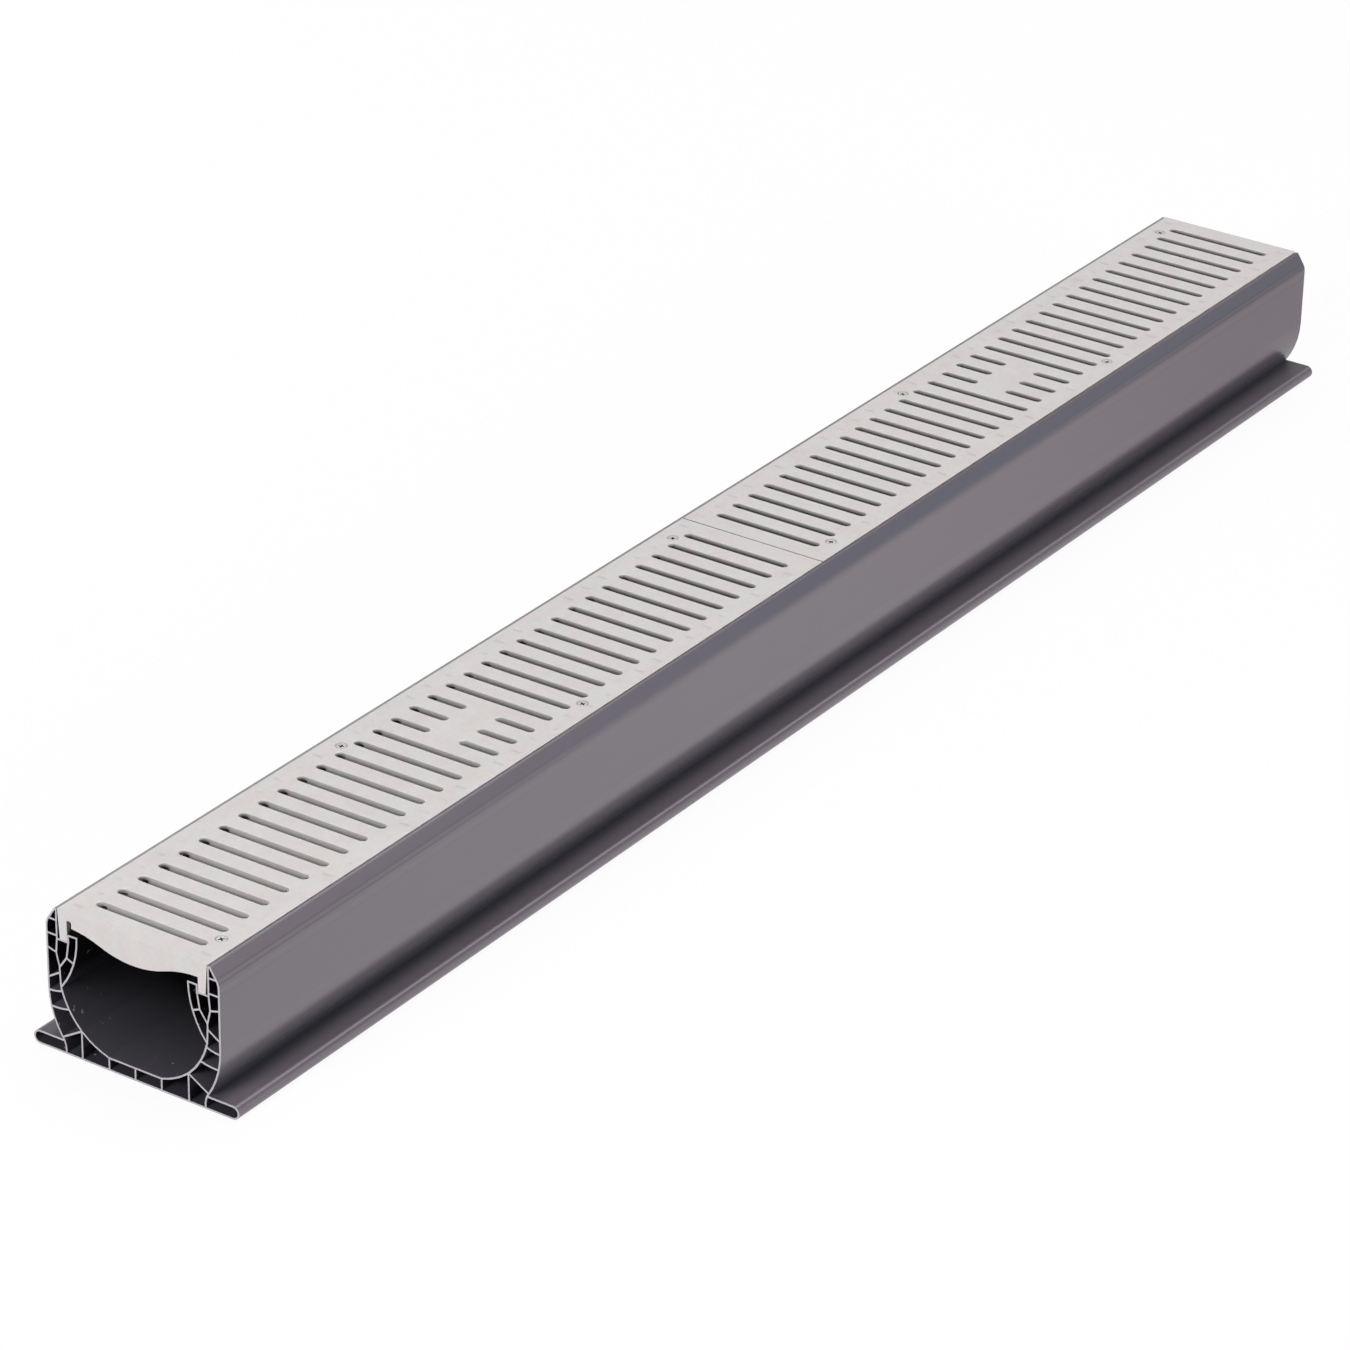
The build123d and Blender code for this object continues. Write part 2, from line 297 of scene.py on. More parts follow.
@dataclass(frozen=True)
class ExtrudedPlastic:
    """Purplish grey skin with lengthwise die lines, painted shade and painted highlights, a dark charcoal inside with
    more painted shade, and pale sawn ends.
    """

    skin_colour: Colour = (0.134, 0.112, 0.136)
    # Painted shade: the skin turns darker and redder towards the far end.
    far_shade_colour: Colour = (0.104, 0.072, 0.100)
    # Painted shade: darker and bluer over the shoulder.
    shoulder_shade_colour: Colour = (0.094, 0.092, 0.122)
    # Painted highlight along the rims and the flanges' tips.
    rim_highlight_colour: Colour = (0.300, 0.295, 0.300)
    # Painted shade in the root of the flange, where the skirt meets it.
    root_shade_colour: Colour = (0.050, 0.052, 0.064)
    inner_colour: Colour = (0.080, 0.076, 0.092)
    cut_colour: Colour = (0.46, 0.43, 0.465)
    dust_colour: Colour = (0.55, 0.54, 0.55)

    # Outline of the section, across and up.
    rim_corner: tuple[float, float] = (54.75 * MM, 91.5 * MM)
    rim_face: Band = Band(91.5 * MM, 90.9 * MM)
    chamfer_lean: tuple[float, float] = (0.835, 0.550)
    skirt_middle: tuple[float, float] = (4.8 * MM, 39.95 * MM)
    skirt_radius: float = 55.95 * MM
    flange_face: Band = Band(50.0 * MM, 50.55 * MM)
    flange_reach: float = 72.49 * MM
    skin_depth: Band = Band(0.45 * DRAIN.wall, 0.55 * DRAIN.wall)
    cut_face: Band = Band(DRAIN.half_length - 0.25 * MM, DRAIN.half_length - 0.15 * MM)

    # Streaks of the skin.
    broad_grain: Grain = Grain((0.25, 90.0, 90.0), 1.0)
    patch_grain: Grain = Grain((7.0, 14.0, 14.0), 3.0)
    wander_grain: Grain = Grain((1.6, 5.0, 5.0), 1.0)
    plain_gain: float = 0.94
    broad_gain: float = 0.05
    patch_gain: float = 0.07
    wander: float = 1.2 * MM
    die_lines: tuple[DieLine, ...] = (
        DieLine(81.9 * MM, 1.3 * MM, 0.28),
        DieLine(84.6 * MM, 0.9 * MM, 0.18),
        DieLine(74.2 * MM, 1.6 * MM, 0.08),
        DieLine(77.8 * MM, 1.2 * MM, -0.06),
    )
    both_ends: Band = Band(150.0 * MM, 520.0 * MM)

    # Where painted shade and painted highlights change the skin's colour, and how much.
    far_shade_along: Band = Band(-200.0 * MM, DRAIN.half_length)
    far_shade_height: Band = Band(14.0 * MM, 30.0 * MM)
    shoulder_height: Band = Band(82.0 * MM, 84.0 * MM)
    shoulder_along: Band = Band(-DRAIN.half_length, 100.0 * MM)
    root_shade_height: Band = Band(DRAIN.base_height + 28.0 * MM, DRAIN.base_height + 11.0 * MM)
    root_shade_across: Band = Band(66.0 * MM, 54.0 * MM)
    root_shade_along: Band = Band(0.0, -DRAIN.half_length)
    root_shade_share: float = 0.75
    near_root_shade_share: float = 0.2
    rim_height: Band = Band(90.6 * MM, 91.3 * MM)
    rim_side: Band = Band(-10.0 * MM, 10.0 * MM)
    rim_highlight_share: float = 0.75
    rim_end_highlight_share: float = 0.25
    tip_line: float = 70.3 * MM
    tip_across: Band = Band(1.2 * MM, 0.0)
    tip_height: Band = Band(5.5 * MM, 7.5 * MM)
    tip_along: Band = Band(-300.0 * MM, 600.0 * MM)
    tip_highlight_share: float = 0.5
    roughness: float = 0.28
    broad_polish: float = 0.03
    ior: float = 1.72
    skin_relief: float = 0.05 * MM
    broad_relief: float = 0.25

    # Sawn ends.
    saw_grain: Grain = Grain((400.0, 300.0, 2200.0), 3.0)
    saw_gain: tuple[float, float] = (0.85, 0.3)
    saw_roughness: float = 0.3
    saw_relief: float = 0.5

    # Inside of the trough and the cells, darkened by painted shade with the depth, near the top and in the base.
    deep_along: Band = Band(-6.0 * MM, 80.0 * MM)
    deep_shade: float = 0.92
    high_inside: Band = Band(34.0 * MM, 60.0 * MM)
    high_shade: float = 0.92
    base_cells: Band = Band(8.2 * MM, 7.6 * MM)
    base_shade: float = 0.45
    dust_grain: Grain = Grain((260.0, 260.0, 260.0), 1.0)
    dust_specks: Band = Band(0.73, 0.78)
    dust_along: Band = Band(-575.0 * MM, -DRAIN.half_length)
    dust_share: float = 0.5
    inner_roughness: float = 0.75
    inner_ior: float = 1.15

    def inside(self, tree: ShaderTree) -> Field:
        """Mask of the surface that lies deeper than half a wall inside the outer skin.

        The skin is the side, the chamfer and the skirt's arc, whichever is nearest. The rim and the underside count
        as skin from their flat faces, and the flange from its flat faces and its half-round tip.

        Args:
            tree: the material's tree.

        Returns:
            1 inside, 0 on the skin.
        """
        out = abs(tree.y)
        deep_side = DRAIN.side - out
        lean_y, lean_z = self.chamfer_lean
        rim_y, rim_z = self.rim_corner
        deep_chamfer = (rim_y - out) * lean_y + (rim_z - tree.z) * lean_z
        middle_y, middle_z = self.skirt_middle
        across = out - middle_y
        below = (middle_z - tree.z).at_least(0.0)
        deep_skirt = self.skirt_radius - (across * across + below * below) ** 0.5
        wall = deep_side.at_most(deep_chamfer).at_most(deep_skirt).ramp(self.skin_depth)
        half_flange = DRAIN.base_height / 2
        past_middle = (out - (self.flange_reach - half_flange)).at_least(0.0)
        from_middle = tree.z - half_flange
        deep_flange = half_flange - (past_middle * past_middle + from_middle * from_middle) ** 0.5
        in_flange = out.ramp(self.flange_face) * deep_flange.ramp(self.skin_depth)
        in_wall = wall * tree.z.ramp(self.rim_face)
        return (in_wall + in_flange).at_most(1.0) * tree.z.ramp(self.skin_depth)

    def streaks(self, tree: ShaderTree, broad: Field, ends: Field) -> Field:
        """Grey gain of the skin.

        Broad bands and patches lighten it a little. Towards both ends the die lines show, which wander up and down
        by a fraction of a millimetre.

        Args:
            tree: the material's tree.
            broad: lengthwise noise.
            ends: 1 at both ends, 0 in the middle.

        Returns:
            The gain.
        """
        gain = self.plain_gain + broad * self.broad_gain + tree.noise(self.patch_grain) * self.patch_gain
        height = tree.z + (tree.noise(self.wander_grain) - 0.5) * self.wander
        for line in self.die_lines:
            gain = gain - abs(height - line.height).ramp(Band(line.reach, 0.0)) * ends * line.shade
        return gain

    def skin(self, tree: ShaderTree, broad: Field) -> Field:
        """Colour of the skin.

        Painted shade turns it darker and redder towards the far end, darker and bluer over the shoulder and dark in
        the root of the flange, and painted highlights make it pale along the rims and the flanges' tips.

        Args:
            tree: the material's tree.
            broad: lengthwise noise.

        Returns:
            The colour.
        """
        ends = abs(tree.x).ramp(self.both_ends)
        out = abs(tree.y)
        rim = tree.z.ramp(self.rim_height)
        # Painted shade, darker and redder towards the far end.
        far = tree.x.ramp(self.far_shade_along) * tree.z.ramp(self.far_shade_height)
        colour = tree.mix(far, self.skin_colour, self.far_shade_colour)
        # Painted shade over the shoulder, darker and bluer.
        shoulder = tree.z.ramp(self.shoulder_height) * tree.x.ramp(self.shoulder_along)
        colour = tree.mix(shoulder * (1.0 - rim), colour, self.shoulder_shade_colour)
        # Painted shade in the root of the flange, stronger towards the near end.
        root_shade = tree.z.ramp(self.root_shade_height) * out.ramp(self.root_shade_across)
        root_shade = root_shade * (self.root_shade_share + tree.x.ramp(self.root_shade_along) * self.near_root_shade_share)
        colour = tree.mix(root_shade, colour, self.root_shade_colour)
        # Painted highlights along the rims and the flanges' tips.
        rim_highlight = rim * (tree.y.ramp(self.rim_side) * self.rim_highlight_share + ends * self.rim_end_highlight_share)
        tip = abs(out - self.tip_line).ramp(self.tip_across) * tree.z.ramp(self.tip_height)
        tip_highlight = tip * tree.x.ramp(self.tip_along) * self.tip_highlight_share
        colour = tree.mix(rim_highlight + tip_highlight, colour, self.rim_highlight_colour)
        return tree.tinted(colour, self.streaks(tree, broad, ends))

    def outer(self, tree: ShaderTree, cut: Field) -> Field:
        """Shader of the skin and of the sawn ends.

        Args:
            tree: the material's tree.
            cut: 1 on the sawn ends, 0 elsewhere.

        Returns:
            The shader.
        """
        broad = tree.noise(self.broad_grain)
        saw = tree.noise(self.saw_grain)
        low_gain, more_gain = self.saw_gain
        sawn = tree.tinted(self.cut_colour, low_gain + saw * more_gain)
        return tree.shader(
            Base_Color=tree.mix(cut, self.skin(tree, broad), sawn),
            Roughness=self.roughness - broad * self.broad_polish + cut * self.saw_roughness,
            IOR=self.ior,
            Normal=tree.bump(broad * self.broad_relief + cut * saw * self.saw_relief, self.skin_relief),
        )

    def inner(self, tree: ShaderTree) -> Field:
        """Shader of the matt inside, darkened by painted shade, with specks of saw dust near the near end.

        Args:
            tree: the material's tree.

        Returns:
            The shader.
        """
        # Painted shade: darker deeper in, near the top and in the base.
        deep = (DRAIN.half_length - abs(tree.x)).ramp(self.deep_along, smooth=False)
        shade = (1.0 - deep * self.deep_shade) * (1.0 - tree.z.ramp(self.high_inside) * self.high_shade)
        shade = shade * (1.0 - tree.z.ramp(self.base_cells) * self.base_shade)
        dusty = tree.noise(self.dust_grain).ramp(self.dust_specks) * tree.x.ramp(self.dust_along)
        return tree.shader(
            Base_Color=tree.mix(dusty * self.dust_share, tree.tinted(self.inner_colour, shade), self.dust_colour),
            Roughness=self.inner_roughness,
            IOR=self.inner_ior,
        )

    def material(self) -> bpy.types.Material:
        """Build the material.

        Returns:
            The material, whose outer and inner shaders meet inside the walls.
        """
        tree = ShaderTree.named("extruded_plastic")
        cut = abs(tree.x).ramp(self.cut_face)
        within = self.inside(tree) * (1.0 - cut)
        shaders = {0: within, 1: self.outer(tree, cut), 2: self.inner(tree)}
        tree.finish(tree.node("ShaderNodeMixShader", None, shaders))
        return tree.owner


@dataclass(frozen=True)
class MouldedGrey:
    """Light warm grey moulding with a fine matt grain, shallow sink marks over its ribs, and painted shade."""

    screw_spots: tuple[tuple[float, float], ...]
    colour: Colour = (0.655, 0.645, 0.635)
    warm_colour: Colour = (0.665, 0.620, 0.615)

    # Mottling.
    fine_grain: Grain = Grain((2600.0, 2600.0, 2600.0), 3.0, 0.6)
    mottle_grain: Grain = Grain((60.0, 110.0, 60.0), 4.0, 0.6)
    speckle_grain: Grain = Grain((420.0, 420.0, 420.0), 2.0, 0.6)
    flow_grain: Grain = Grain((22.0, 9.0, 22.0), 3.0)
    warm_grain: Grain = Grain((45.0, 60.0, 45.0), 3.0)
    warm_patches: Band = Band(0.35, 0.65)
    plain_gain: float = 0.79
    mottle_gain: float = 0.15
    speckle_gain: float = 0.12
    flow_gain: float = 0.05

    # Sink marks over the ribs, in the margins beside the slots, with painted shade that darkens them.
    sink_grain: Grain = Grain((90.0, 60.0, 90.0), 2.0)
    sink_patches: Band = Band(0.42, 0.58)
    rib_face: Band = Band(1.9 * MM, 0.7 * MM)
    margin_start: Band = Band(40.5 * MM, 42.0 * MM)
    margin_end: Band = Band(49.0 * MM, 47.5 * MM)
    sink_shade: float = 0.12

    # Painted shade on the walls of the slots, darker with the depth, along the drain and at their +Y ends.
    slot_face: Band = Band(3.3 * MM, 3.1 * MM)
    slot_rows: Band = Band(16.6 * DRAIN.slot_pitch, 16.5 * DRAIN.slot_pitch)
    wall_depth: Band = Band(0.1 * MM, 0.8 * MM)
    wall_shade: float = 0.35
    slot_depth: Band = Band(0.5 * MM, 3.0 * MM)
    slot_along: Band = Band(-560.0 * MM, 50.0 * MM)
    slot_end_across: Band = Band(31.0 * MM, 37.0 * MM)
    slot_end_along: Band = Band(-600.0 * MM, -550.0 * MM)
    slot_end_depth: Band = Band(0.6 * MM, 2.2 * MM)
    slot_shade: float = 0.72

    # Painted shade at the joint of the two grates, and in rings round the screws.
    joint_face: Band = Band(0.7 * MM, 0.3 * MM)
    joint_shade: float = 0.6
    ring_radius: float = 3.6 * MM
    ring_face: Band = Band(0.6 * MM, 0.0)
    ring_shade: float = 0.30

    roughness: float = 0.55
    mottle_roughness: float = 0.1
    relief: float = 0.07 * MM
    fine_relief: float = 0.35
    mottle_relief: float = 0.8
    sink_relief: float = 1.2

    def rings(self, tree: ShaderTree) -> Field:
        """Mask of a ring of painted shade round each screw.

        Args:
            tree: the material's tree.

        Returns:
            1 on the rings, 0 elsewhere.
        """
        found = 0.0
        for x, y in self.screw_spots:
            ends = {0: tree.place, 1: (x, y, DRAIN.top)}
            away = tree.node("ShaderNodeVectorMath", {"operation": "DISTANCE"}, ends, "Value")
            found = abs(away - self.ring_radius).ramp(self.ring_face) + found
        return found

    def sinks(self, tree: ShaderTree) -> Field:
        """Mask of the sink marks, which noise breaks up.

        Args:
            tree: the material's tree.

        Returns:
            1 over the ribs in the margins, 0 elsewhere.
        """
        from_rib = (abs(tree.x) - DRAIN.grate_middle + DRAIN.slot_pitch / 2).wrapped(DRAIN.slot_pitch)
        out = abs(tree.y)
        in_margin = out.ramp(self.margin_start) * out.ramp(self.margin_end)
        return from_rib.ramp(self.rib_face) * in_margin * tree.noise(self.sink_grain).ramp(self.sink_patches)

    def slot_gain(self, tree: ShaderTree) -> Field:
        """Grey gain of the slots' walls, which is painted shade.

        Args:
            tree: the material's tree.

        Returns:
            1 outside the slots, less on their walls.
        """
        along = abs(abs(tree.x) - DRAIN.grate_middle)
        in_slot = along.wrapped(DRAIN.slot_pitch).ramp(self.slot_face) * along.ramp(self.slot_rows)
        under = DRAIN.top - tree.z
        wall = under.ramp(self.wall_depth) * self.wall_shade
        deep = under.ramp(self.slot_depth) * tree.x.ramp(self.slot_along)
        end = tree.y.ramp(self.slot_end_across) * tree.x.ramp(self.slot_end_along)
        deep = deep.at_least(end * under.ramp(self.slot_end_depth)) * self.slot_shade
        return (1.0 - in_slot * wall) * (1.0 - in_slot * deep)

    def material(self) -> bpy.types.Material:
        """Build the material.

        Returns:
            The material.
        """
        tree = ShaderTree.named("moulded_grey")
        mottle = tree.noise(self.mottle_grain)
        speckle = tree.noise(self.speckle_grain)
        flow = tree.noise(self.flow_grain)
        sink = self.sinks(tree)
        gain = self.plain_gain + mottle * self.mottle_gain + speckle * self.speckle_gain + flow * self.flow_gain
        # Painted shade over the sink marks and on the slots' walls.
        gain = (gain - sink * self.sink_shade) * self.slot_gain(tree)
        # Painted shade at the grates' joint and round the screws.
        gain = gain * (1.0 - abs(tree.x).ramp(self.joint_face) * self.joint_shade)
        gain = gain * (1.0 - self.rings(tree) * self.ring_shade)
        warm = tree.noise(self.warm_grain).ramp(self.warm_patches)
        height = tree.noise(self.fine_grain) * self.fine_relief + mottle * self.mottle_relief - sink * self.sink_relief
        shader = tree.shader(
            Base_Color=tree.tinted(tree.mix(warm, self.colour, self.warm_colour), gain),
            Roughness=self.roughness + mottle * self.mottle_roughness,
            Normal=tree.bump(height, self.relief),
        )
        tree.finish(shader)
        return tree.owner


@dataclass(frozen=True)
class PaintedSteel:
    """Screw paint that matches the grates, dark with painted shade and partly metallic inside the recess."""

    colour: Colour = (0.60, 0.585, 0.57)
    recess_shade_colour: Colour = (0.05, 0.045, 0.045)
    recess_height: Band = Band(DRAIN.top - 0.30 * MM, DRAIN.top - 0.50 * MM)
    recess_metal: float = 0.6
    wear_grain: Grain = Grain((900.0, 900.0, 900.0), 3.0)
    wear_gain: tuple[float, float] = (0.85, 0.3)
    wear_roughness: tuple[float, float] = (0.35, 0.15)
    relief: float = 0.03 * MM

    def material(self) -> bpy.types.Material:
        """Build the material.

        Returns:
            The material.
        """
        tree = ShaderTree.named("painted_steel")
        wear = tree.noise(self.wear_grain)
        # Painted shade in the cross recess.
        deep = tree.z.ramp(self.recess_height)
        low_gain, more_gain = self.wear_gain
        smooth, rougher = self.wear_roughness
        shader = tree.shader(
            Base_Color=tree.mix(deep, tree.tinted(self.colour, low_gain + wear * more_gain), self.recess_shade_colour),
            Roughness=smooth + wear * rougher,
            Metallic=deep * self.recess_metal,
            Normal=tree.bump(wear, self.relief),
        )
        tree.finish(shader)
        return tree.owner


def make_piece(name: str, points: np.ndarray, faces: np.ndarray, material: bpy.types.Material) -> bpy.types.Object:
    """Make a smooth mesh object at the origin from whole arrays.

    Args:
        name: name of the object.
        points: vertices, N by 3, in metres.
        faces: quads, M by 4; a triangle repeats its last corner.
        material: its only material.

    Returns:
        The object, linked to the scene.
    """
    mesh = bpy.data.meshes.new(name)
    polygons = [tuple(dict.fromkeys(corners)) for corners in faces.tolist()]
    mesh.from_pydata(points.tolist(), [], polygons)
    mesh.validate()
    mesh.update()
    mesh.shade_smooth()
    mesh.materials.append(material)
    piece = bpy.data.objects.new(name, mesh)
    bpy.context.scene.collection.objects.link(piece)
    return piece


def closed_turning(rings: np.ndarray) -> tuple[np.ndarray, np.ndarray]:
    """Close a grid of rings into one surface with a pole at each end.

    Args:
        rings: ring, corner and coordinate; the first and the last ring are single points.

    Returns:
        Vertices and quads. A pole is one vertex, and its quads are triangles.
    """
    count, around = rings.shape[:2]
    points = np.concatenate([rings[:1, 0], rings[1:-1].reshape(-1, 3), rings[-1:, 0]])
    index = np.zeros((count, around), int)
    index[1:-1] = 1 + np.arange((count - 2) * around).reshape(count - 2, around)
    index[-1] = len(points) - 1
    turned = np.roll(index, -1, axis=1)
    faces = np.stack([index[:-1], index[1:], turned[1:], turned[:-1]], axis=-1).reshape(-1, 4)
    return points, faces


@dataclass
class GrateScrews:
    """Flat-head screws with a cross recess and a coarse thread."""

    count: int = 8
    head_radius: float = 3.2 * MM
    head_sink: float = 0.25 * MM
    rim: float = 0.7 * MM
    rim_round: float = 0.55 * MM
    shank_radius: float = 1.25 * MM
    thread_radius: float = 1.72 * MM
    thread_pitch: float = 1.4 * MM
    ridge_share: float = 0.5
    neck: float = 3.2 * MM
    cone: float = 1.9 * MM
    point: float = 3.4 * MM

    # Radians from one screw's cross to the next one's.
    driven_turn: float = 0.9

    # Cross recess. An arm's edge and slope are shares of its width, and its fade is a share of its reach.
    recess_reach: float = 2.0 * MM
    recess_width: float = 0.46 * MM
    recess_depth: float = 1.6 * MM
    arm_edge: float = 1.35
    arm_slope: float = 0.7
    arm_fade: float = 0.55
    fade_power: float = 0.8

    # Mesh: corners in a ring, and rings over the face, over the rim's round and in each turn of the thread.
    around: int = 64
    face_rings: int = 30
    round_rings: int = 4
    turn_rings: int = 6

    def face(self, angle: np.ndarray) -> np.ndarray:
        """Rings of the head's face, which is flat less a cross.

        The cross's depth falls off smoothly with the distance from the nearer arm and with the distance along it.

        Args:
            angle: directions of a ring's corners.

        Returns:
            Ring, corner and coordinate.
        """
        radius = np.linspace(0.0, self.head_radius - self.rim_round, self.face_rings)
        x = radius[:, None] * np.cos(angle)
        y = radius[:, None] * np.sin(angle)
        across = np.minimum(np.abs(x), np.abs(y))
        along = np.maximum(np.abs(x), np.abs(y))
        side = (self.recess_width * self.arm_edge - across) / (self.recess_width * self.arm_slope)
        side = np.clip(side, 0.0, 1.0)
        reach = np.clip((self.recess_reach - along) / (self.recess_reach * self.arm_fade), 0.0, 1.0)
        height = -self.recess_depth * side * side * (3.0 - 2.0 * side) * reach**self.fade_power
        return np.stack([x, y, height], axis=-1)

    def sides(self, angle: np.ndarray) -> np.ndarray:
        """Rings of the rim's round, the head's cone and the plain neck.

        Args:
            angle: directions of a ring's corners.

        Returns:
            Ring, corner and coordinate.
        """
        turn = np.linspace(0.0, np.pi / 2.0, self.round_rings + 1)[1:]
        round_radius = self.head_radius - self.rim_round * (1.0 - np.sin(turn))
        round_height = -self.rim_round * (1.0 - np.cos(turn))
        cone_radius = np.array([self.head_radius, self.shank_radius, self.shank_radius])
        cone_height = -np.array([self.rim, self.rim + self.cone, self.neck])
        radius = np.concatenate([round_radius, cone_radius])
        height = np.concatenate([round_height, cone_height])
        return self.turned(radius[:, None] + 0.0 * angle, height[:, None] + 0.0 * angle, angle)

    def thread(self, angle: np.ndarray, length: float) -> np.ndarray:
        """Rings of the thread: a core with a pointed ridge that climbs one pitch in each turn.

        The ridge grows over the first turn, and the radius shrinks to nothing over the point.

        Args:
            angle: directions of a ring's corners.
            length: neck to point, in metres.

        Returns:
            Ring, corner and coordinate.
        """
        rows = int(length / self.thread_pitch * self.turn_rings)
        down = np.linspace(0.0, length, rows)[1:]
        phase = down[:, None] / self.thread_pitch + angle / (2.0 * np.pi)
        ridge = np.clip(1.0 - np.abs(phase % 1.0 - 0.5) / (self.ridge_share / 2.0), 0.0, 1.0)
        grown = np.clip(down / self.thread_pitch, 0.0, 1.0)[:, None]
        left = np.clip((length - down) / self.point, 0.0, 1.0)[:, None]
        radius = (self.shank_radius + (self.thread_radius - self.shank_radius) * ridge * grown) * left
        return self.turned(radius, -self.neck - down[:, None] + 0.0 * angle, angle)

    def rings(self, length: float) -> np.ndarray:
        """Rings of one screw about its own axis, from the middle of its head down to its point.

        Args:
            length: head to point, in metres.

        Returns:
            Ring, corner and coordinate.
        """
        angle = np.linspace(0.0, 2.0 * np.pi, self.around, endpoint=False)
        return np.concatenate([self.face(angle), self.sides(angle), self.thread(angle, length - self.neck)])

    @staticmethod
    def turned(radius: np.ndarray, height: np.ndarray, angle: np.ndarray) -> np.ndarray:
        """Points at a radius, a height and an angle about the vertical."""
        return np.stack([radius * np.cos(angle), radius * np.sin(angle), height], axis=-1)

    def nodes(self) -> list[str]:
        """Names of the screws' solids."""
        return [f"grate_screw_{number}" for number in range(1, self.count + 1)]

    def spots(self) -> tuple[tuple[float, float], ...]:
        """Where the screws' axes stand."""
        boxes = [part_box(node) for node in self.nodes()]
        return tuple(((low.x + high.x) / 2, (low.y + high.y) / 2) for low, high in boxes)

    def build(self, material: bpy.types.Material) -> None:
        """Make every screw where its solid stands, each turned by its own amount as it was driven.

        Args:
            material: the screws' paint.
        """
        for number, node in enumerate(self.nodes(), 1):
            low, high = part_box(node)
            middle = (low + high) / 2
            rings = self.rings(high.z - low.z - self.head_sink)
            driven = self.driven_turn * number
            cosine, sine = math.cos(driven), math.sin(driven)
            turn = np.array([[cosine, sine, 0.0], [-sine, cosine, 0.0], [0.0, 0.0, 1.0]])
            points, faces = closed_turning(rings @ turn)
            points = points + np.array([middle.x, middle.y, high.z - self.head_sink])
            piece = make_piece(f"cross_head_screw_{number}", points, faces, material)
            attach(piece, ROOT_BODY)
            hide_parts(node)
            log.info("%s stands for %s", piece.name, node)


@dataclass
class Channel:
    """Extruded channel, which keeps its solid's mesh."""

    finish: ExtrudedPlastic

    def dress(self, node: bpy.types.Object) -> None:
        """Give the channel its finish."""
        put_on(node, self.finish.material())


@dataclass
class RoundedGrate:
    """One slotted grate: its solid's own mesh, with the slots' rims moulded round."""

    node_name: str
    direction: int
    slot_width: float = 5.8 * MM
    slot_reach: float = 38.3 * MM
    plain_reach: float = 11.0 * MM
    split_rows: int = 3
    slot_round: float = 0.7 * MM
    round_steps: int = 5
    slack: float = 0.05 * MM
    weld: float = 0.002 * MM
    flat_angle: float = math.radians(0.3)
    sharp_angle: float = math.radians(48.0)

    def rims(self, points: np.ndarray, edges: np.ndarray) -> np.ndarray:
        """Which edges are rounded.

        A slot's rim lies on the top, with its middle over the slot's width and within its reach, but not over the
        bare middle of a split row.

        Args:
            points: vertices, N by 3.
            edges: their numbers, M by 2.

        Returns:
            1 for each edge of a slot's rim, and 0 for the others.
        """
        ends = points[edges]
        middle = ends.mean(axis=1)
        on_top = np.all(np.abs(ends[:, :, 2] - DRAIN.top) < self.slack, axis=1)
        along = middle[:, 0] - self.direction * DRAIN.grate_middle
        row = np.round(along / DRAIN.slot_pitch)
        out = np.abs(middle[:, 1])
        bare = (np.abs(row) <= self.split_rows // 2) & (out < self.plain_reach - self.slack)
        beside = np.abs(along - row * DRAIN.slot_pitch) < self.slot_width / 2 + self.slack
        slot_rim = on_top & beside & (out < self.slot_reach + self.slack) & ~bare
        return np.where(slot_rim, 1.0, 0.0)

    def cleaned(self, solid: bpy.types.Mesh) -> bpy.types.Mesh:
        """Copy a solid's mesh, with its double points welded and its flat facets joined.

        Args:
            solid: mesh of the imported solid.

        Returns:
            The copy.
        """
        mesh = solid.copy()
        mesh.name = f"{self.node_name}_moulding"
        work = bmesh.new()
        work.from_mesh(mesh)
        bmesh.ops.remove_doubles(work, verts=work.verts, dist=self.weld)
        bmesh.ops.dissolve_limit(work, angle_limit=self.flat_angle, verts=work.verts, edges=work.edges)
        work.to_mesh(mesh)
        work.free()
        return mesh

    def mark_rims(self, mesh: bpy.types.Mesh) -> int:
        """Mark the slots' rims for rounding.

        Args:
            mesh: the cleaned mesh.

        Returns:
            How many edges are marked.
        """
        points = np.empty(len(mesh.vertices) * 3, np.float32)
        mesh.vertices.foreach_get("co", points)
        edges = np.empty(len(mesh.edges) * 2, np.int32)
        mesh.edges.foreach_get("vertices", edges)
        shares = self.rims(points.reshape(-1, 3), edges.reshape(-1, 2))
        mesh.attributes.new("bevel_weight_edge", "FLOAT", "EDGE").data.foreach_set("value", shares)
        return int((shares > 0).sum())

    def build(self, node: bpy.types.Object, material: bpy.types.Material) -> None:
        """Make the piece that stands for the grate's solid.

        Args:
            node: the grate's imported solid.
            material: the moulding's material.
        """
        mesh = self.cleaned(node.data)
        marked = self.mark_rims(mesh)
        mesh.set_sharp_from_angle(angle=self.sharp_angle)
        mesh.materials.clear()
        mesh.materials.append(material)
        piece = bpy.data.objects.new(mesh.name, mesh)
        bpy.context.scene.collection.objects.link(piece)
        bevel = piece.modifiers.new("round", "BEVEL")
        bevel.limit_method = "WEIGHT"
        bevel.width = self.slot_round
        bevel.segments = self.round_steps
        bevel.loop_slide = False
        bevel.use_clamp_overlap = False
        even = piece.modifiers.new("even", "WEIGHTED_NORMAL")
        even.keep_sharp = True
        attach(piece, ROOT_BODY)
        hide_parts(self.node_name)
        log.info("%s stands for %s with %d rounded rims", piece.name, self.node_name, marked)


